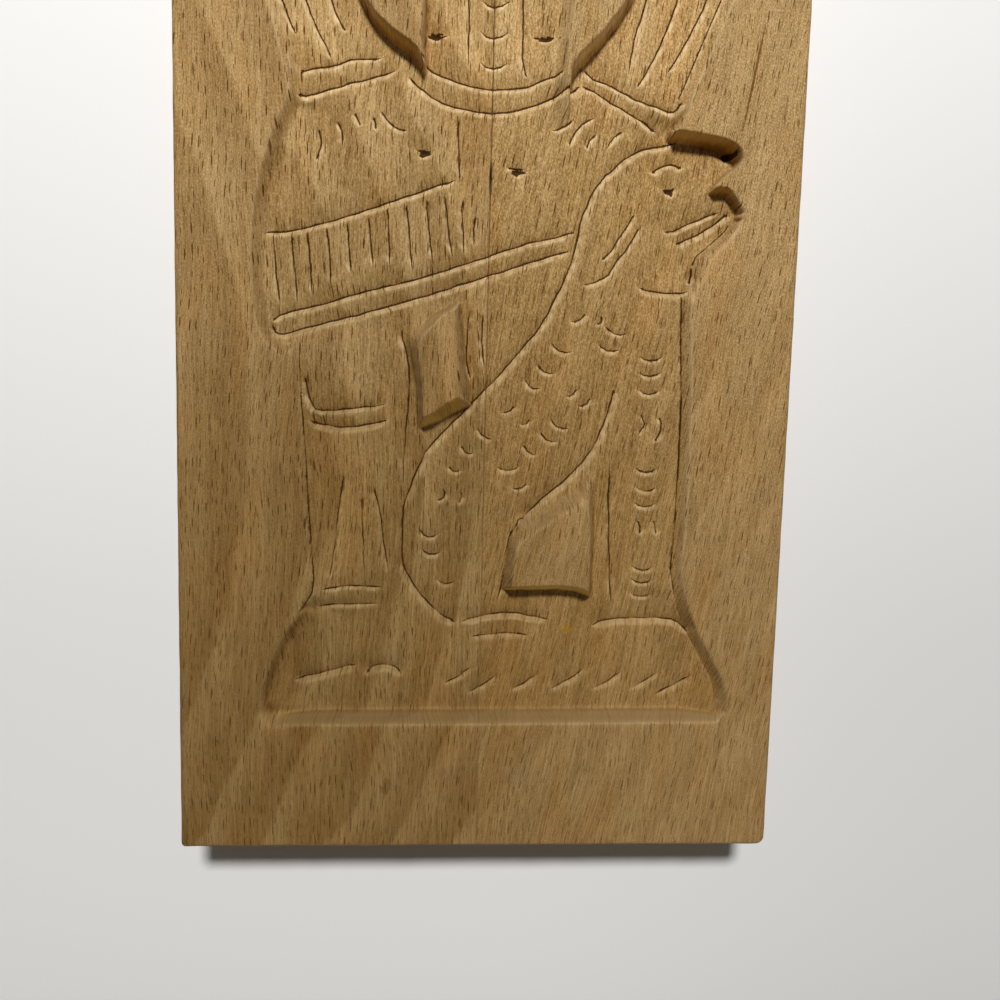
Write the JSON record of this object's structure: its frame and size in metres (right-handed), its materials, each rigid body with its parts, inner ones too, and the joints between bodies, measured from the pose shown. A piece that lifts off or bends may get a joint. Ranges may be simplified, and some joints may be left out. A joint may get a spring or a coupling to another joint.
{
  "type": "springerle mould",
  "caption": "Beech springerle mould: an edge-glued board with a standing figure and a seated dog carved into its face, pressed on dough to shape it.",
  "frame": {"origin": "middle of the flat back, on the plane that the board rests on", "axes": "+Z out of the carved face, +Y along the grain and up the figure, +X to the right as the face is seen"},
  "size_m": [0.12, 0.27, 0.02],
  "materials": {
    "pale_beech": "bare planed beech, worn smooth, with short dark ray flecks",
    "warm_beech": "bare planed beech, a little warmer, with slanting ray flecks",
    "hide_glue": "dried brown glue film"
  },
  "bodies": {
    "root": {"left_stave": "pale_beech", "right_stave": "warm_beech", "glue_line": "hide_glue"}
  },
  "joints": []
}
